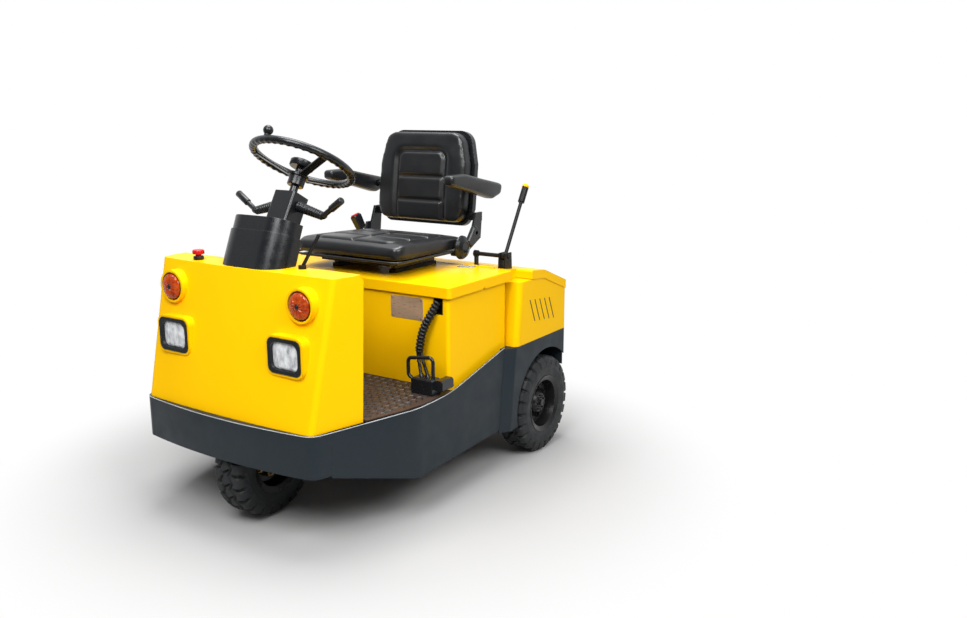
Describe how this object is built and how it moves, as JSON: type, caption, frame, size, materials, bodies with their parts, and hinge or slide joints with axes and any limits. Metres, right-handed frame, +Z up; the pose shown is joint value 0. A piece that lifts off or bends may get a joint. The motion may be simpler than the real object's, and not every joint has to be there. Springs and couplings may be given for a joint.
{
  "type": "electric tow tractor",
  "caption": "Three-wheeled electric tow tractor with a leaning front cowl, open footwell, seat on a hinged battery lid, steered front wheel and rear tow hitch.",
  "frame": {"origin": "on the ground under the middle of the tractor's overall box", "axes": "+X forward, +Y to the driver's left, +Z up"},
  "size_m": [1.5139, 1.072, 1.3176],
  "materials": {
    "body_yellow": "gloss paint",
    "skirt_grey": "satin paint",
    "frame_black": "satin paint",
    "checker_plate": "worn satin plate",
    "black_plastic": "satin moulded",
    "steel": "satin",
    "cast": "painted casting",
    "tyre": "matte rubber",
    "rim_black": "satin paint",
    "seat_vinyl": "satin vinyl",
    "lens_clear": "clear lens",
    "lens_amber": "clear lens",
    "red_button": "gloss",
    "cable_black": "corrugated",
    "battery_case": "matte"
  },
  "bodies": {
    "chassis": {"chassis_frame": "frame_black", "floor_plate": "checker_plate", "skirt_front": "skirt_grey", "skirt_left": "skirt_grey", "skirt_right": "skirt_grey", "front_cowl": "body_yellow", "headlamps": "lens_clear", "indicator_lamps": "lens_amber", "emergency_stop": "red_button", "steering_column": "black_plastic", "column_shroud": "black_plastic", "column_levers": "black_plastic", "dash_lever": "frame_black", "brake_pedal": "frame_black", "accelerator_pedal": "frame_black", "steering_housing": "frame_black", "rear_axle": "cast", "traction_motor": "cast", "battery_box": "body_yellow", "battery_pack": "battery_case", "fender_left": "body_yellow", "fender_right": "body_yellow", "arch_panel_left": "skirt_grey", "arch_panel_right": "skirt_grey", "rear_hood": "body_yellow", "rear_panel": "body_yellow", "tow_hitch": "cast", "parking_lever": "frame_black", "battery_conduit": "cable_black", "battery_cables": "cable_black", "battery_plug": "black_plastic", "battery_socket": "black_plastic"},
    "battery_lid": {"battery_lid": "body_yellow", "seat_rails": "frame_black"},
    "seat": {"seat_pan": "black_plastic", "seat_cushion": "seat_vinyl"},
    "backrest": {"backrest_pad": "seat_vinyl", "backrest_shell": "black_plastic"},
    "armrest_left": {"armrest_left": "seat_vinyl"},
    "armrest_right": {"armrest_right": "seat_vinyl"},
    "steering": {"steer_fork": "frame_black"},
    "front_wheel": {"front_tyre": "tyre", "front_rim": "rim_black"},
    "rear_wheel_left": {"rear_tyre_left": "tyre", "rear_rim_left": "rim_black"},
    "rear_wheel_right": {"rear_tyre_right": "tyre", "rear_rim_right": "rim_black"},
    "steering_wheel": {"steering_wheel": "black_plastic"}
  },
  "joints": [
    {"name": "steer_turn", "type": "hinge", "parent": "chassis", "child": "steering", "pos_m": [0.55, 0, 0.196], "axis": [0, 0, 1], "range_deg": [-79, 71]},
    {"name": "front_wheel_spin", "type": "hinge", "parent": "steering", "child": "front_wheel", "pos_m": [0.55, 0, 0.196], "axis": [-0.0698, 0.9976, 0], "continuous": true},
    {"name": "rear_wheel_left_spin", "type": "hinge", "parent": "chassis", "child": "rear_wheel_left", "pos_m": [-0.472, 0.476, 0.196], "axis": [0, 1, 0], "continuous": true},
    {"name": "rear_wheel_right_spin", "type": "hinge", "parent": "chassis", "child": "rear_wheel_right", "pos_m": [-0.472, -0.476, 0.196], "axis": [0, 1, 0], "continuous": true},
    {"name": "steering_wheel_turn", "type": "hinge", "parent": "chassis", "child": "steering_wheel", "pos_m": [0.313, 0, 1.187], "axis": [-0.4848, 0, 0.8746], "range_deg": [-474, 426]},
    {"name": "lid_hinge", "type": "hinge", "parent": "chassis", "child": "battery_lid", "pos_m": [-0.282, 0, 0.771], "axis": [0, -1, 0], "range_deg": [0, 30]},
    {"name": "seat_slide", "type": "slide", "parent": "battery_lid", "child": "seat", "axis": [1, 0, 0], "range_m": [0, 0.08]},
    {"name": "backrest_recline", "type": "hinge", "parent": "seat", "child": "backrest", "pos_m": [-0.364, 0, 0.874], "axis": [0, -1, 0], "range_deg": [0, 15]},
    {"name": "armrest_left_fold", "type": "hinge", "parent": "backrest", "child": "armrest_left", "pos_m": [-0.423, 0.2965, 1.058], "axis": [0, -1, 0], "range_deg": [0, 90]},
    {"name": "armrest_right_fold", "type": "hinge", "parent": "backrest", "child": "armrest_right", "pos_m": [-0.423, -0.2965, 1.058], "axis": [0, -1, 0], "range_deg": [0, 90]}
  ],
  "couplings": [
    {"joint": "steering_wheel_turn", "follows": "steer_turn", "ratio": 6}
  ]
}
